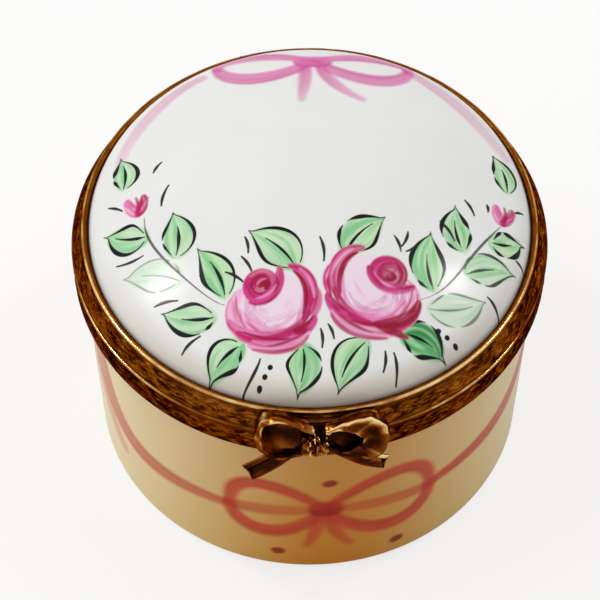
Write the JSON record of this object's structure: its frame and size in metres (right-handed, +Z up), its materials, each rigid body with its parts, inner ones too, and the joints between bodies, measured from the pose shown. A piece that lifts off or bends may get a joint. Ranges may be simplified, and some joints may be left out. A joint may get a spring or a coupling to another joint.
{
  "type": "keepsake box",
  "caption": "Round porcelain keepsake box for baby teeth: domed lid on a back hinge, brass collars round both rims, and a bow-shaped brass clasp that grips a nib at the front.",
  "frame": {"origin": "on the box's axis, in the plane of the foot ring that it stands on", "axes": "+Z up along the box's axis, -Y to the clasp at the front, +Y to the hinge at the back, +X to the right"},
  "size_m": [0.0452, 0.0478, 0.0343],
  "materials": {
    "white_glaze": "gloss",
    "ivory_glaze": "gloss",
    "cement": "matte",
    "antique_brass": "satin",
    "polished_brass": "polished"
  },
  "bodies": {
    "base": {"porcelain_base": "ivory_glaze", "base_cement_bed": "cement", "base_collar": "antique_brass", "base_knuckle_left": "antique_brass", "base_knuckle_centre": "antique_brass", "base_knuckle_right": "antique_brass", "hinge_pin": "polished_brass", "catch_nib": "polished_brass"},
    "lid": {"porcelain_lid": "white_glaze", "lid_cement_bed": "cement", "lid_collar": "antique_brass", "lid_knuckle_left": "antique_brass", "lid_knuckle_right": "antique_brass", "clasp_tongue": "polished_brass", "bow_knot": "polished_brass", "bow_left_loop": "polished_brass", "bow_right_loop": "polished_brass", "bow_left_tail": "polished_brass", "bow_right_tail": "polished_brass"}
  },
  "joints": [
    {"name": "lid_hinge", "type": "hinge", "parent": "base", "child": "lid", "pos_m": [0, 0.0218, 0.0257], "axis": [-1, 0, 0], "range_deg": [0, 105]}
  ]
}
